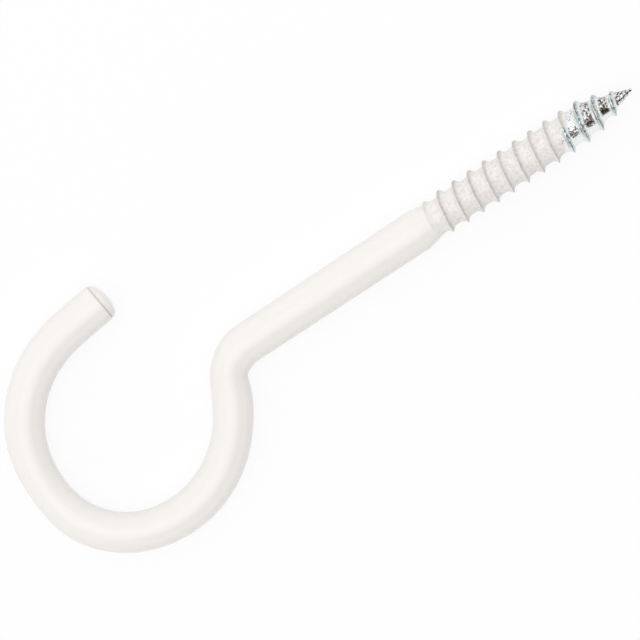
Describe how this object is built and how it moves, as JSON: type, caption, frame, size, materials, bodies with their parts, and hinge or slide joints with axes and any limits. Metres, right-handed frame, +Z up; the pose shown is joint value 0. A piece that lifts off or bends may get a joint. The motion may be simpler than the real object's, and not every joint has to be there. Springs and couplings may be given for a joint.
{
  "type": "clothesline hook",
  "caption": "Open screw hook bent from one coated steel wire, with a wood screw thread and gimlet point, for holding up a clothesline.",
  "frame": {"origin": "bottom centre of the bounding box, with the hook lying flat on its side", "axes": "+X along the shank towards the screw point, +Y towards the mouth of the bow, +Z up, square to the flat of the bow"},
  "size_m": [0.1394, 0.0502, 0.0082],
  "materials": {
    "coated_wire": "smooth white baked coat over zinc plated steel, worn through to bare zinc plate on the last turns of the thread and the point"
  },
  "bodies": {
    "root": {"hook": "coated_wire"}
  },
  "joints": []
}
